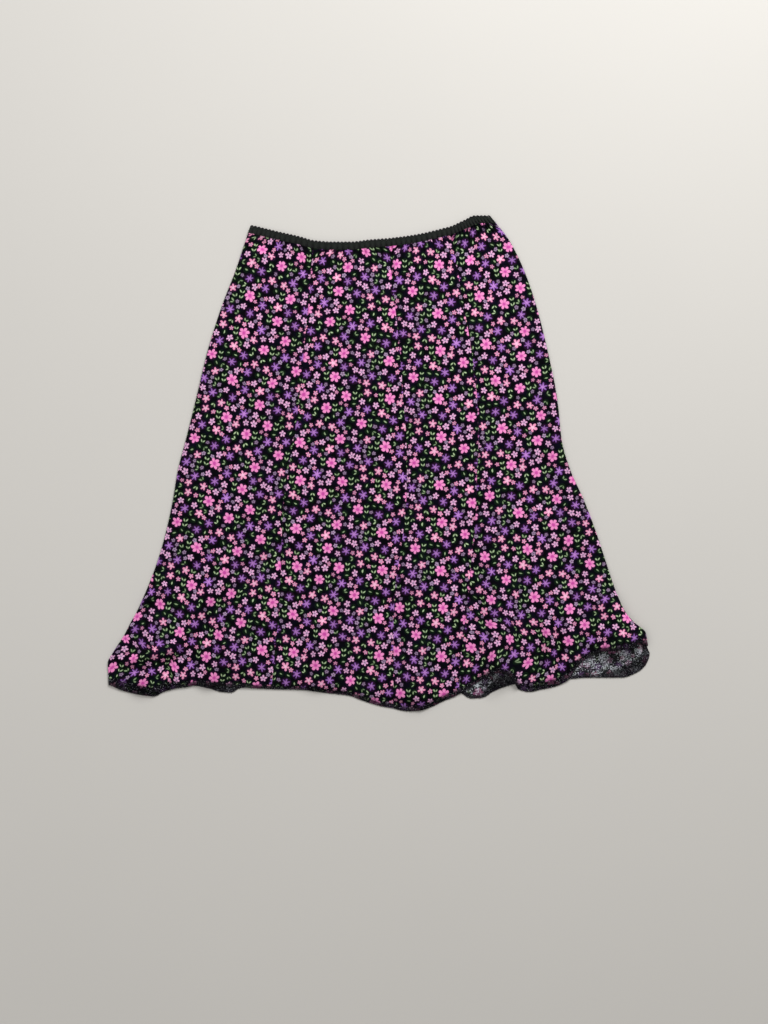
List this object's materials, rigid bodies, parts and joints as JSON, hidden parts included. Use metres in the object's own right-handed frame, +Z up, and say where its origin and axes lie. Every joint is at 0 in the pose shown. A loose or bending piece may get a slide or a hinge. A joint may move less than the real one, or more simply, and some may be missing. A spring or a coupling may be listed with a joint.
{
  "type": "skirt",
  "caption": "Flared gored pull-on skirt laid flat, with a narrow picot waist elastic and a wavy fluted hem whose lifted folds show the inside of the back.",
  "frame": {"origin": "centre of the laid garment's box, on the surface that it lies on", "axes": "+X across the garment towards the fluted corner of the hem, +Y from hem to waist, +Z up from the surface"},
  "size_m": [0.7588, 0.6928, 0.0268],
  "materials": {
    "printed_cloth": "soft woven crepe, black ground with a small scattered flower print in pinks, lilac and green",
    "waist_elastic": "matt black knitted elastic with a picot edge"
  },
  "bodies": {
    "root": {"front_gore_left_side": "printed_cloth", "front_gore_left_middle": "printed_cloth", "front_gore_right_middle": "printed_cloth", "front_gore_right_side": "printed_cloth", "back_gore_left_side": "printed_cloth", "back_gore_left_middle": "printed_cloth", "back_gore_right_middle": "printed_cloth", "back_gore_right_side": "printed_cloth", "waist_elastic_front": "waist_elastic", "waist_elastic_back": "waist_elastic"}
  },
  "joints": []
}
